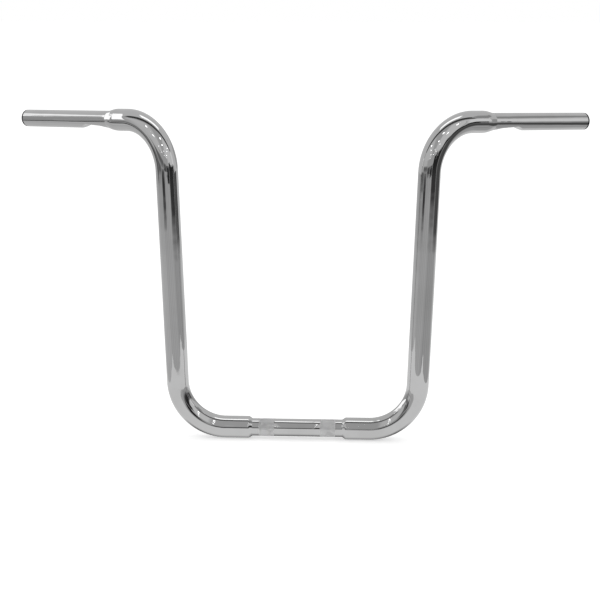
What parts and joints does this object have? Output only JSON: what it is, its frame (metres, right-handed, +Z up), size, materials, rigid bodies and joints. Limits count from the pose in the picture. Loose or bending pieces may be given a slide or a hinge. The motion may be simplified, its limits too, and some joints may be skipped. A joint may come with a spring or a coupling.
{
  "type": "motorcycle handlebar",
  "caption": "Tall U-shaped chrome motorcycle handlebar with swept-back grips, a necked clamp section, wire dimples under the grips and black plastic end plugs.",
  "frame": {"origin": "centre of the clamp section, on the axis of the tube", "axes": "+X to the rider's left along the clamp section, +Y back towards the rider, +Z up the uprights"},
  "size_m": [0.8526, 0.1887, 0.4734],
  "materials": {
    "chrome_steel": "polished chrome plate on steel tube",
    "black_plastic": "moulded black plastic"
  },
  "bodies": {
    "root": {"handlebar": "chrome_steel", "left_end_plug": "black_plastic", "right_end_plug": "black_plastic"}
  },
  "joints": []
}
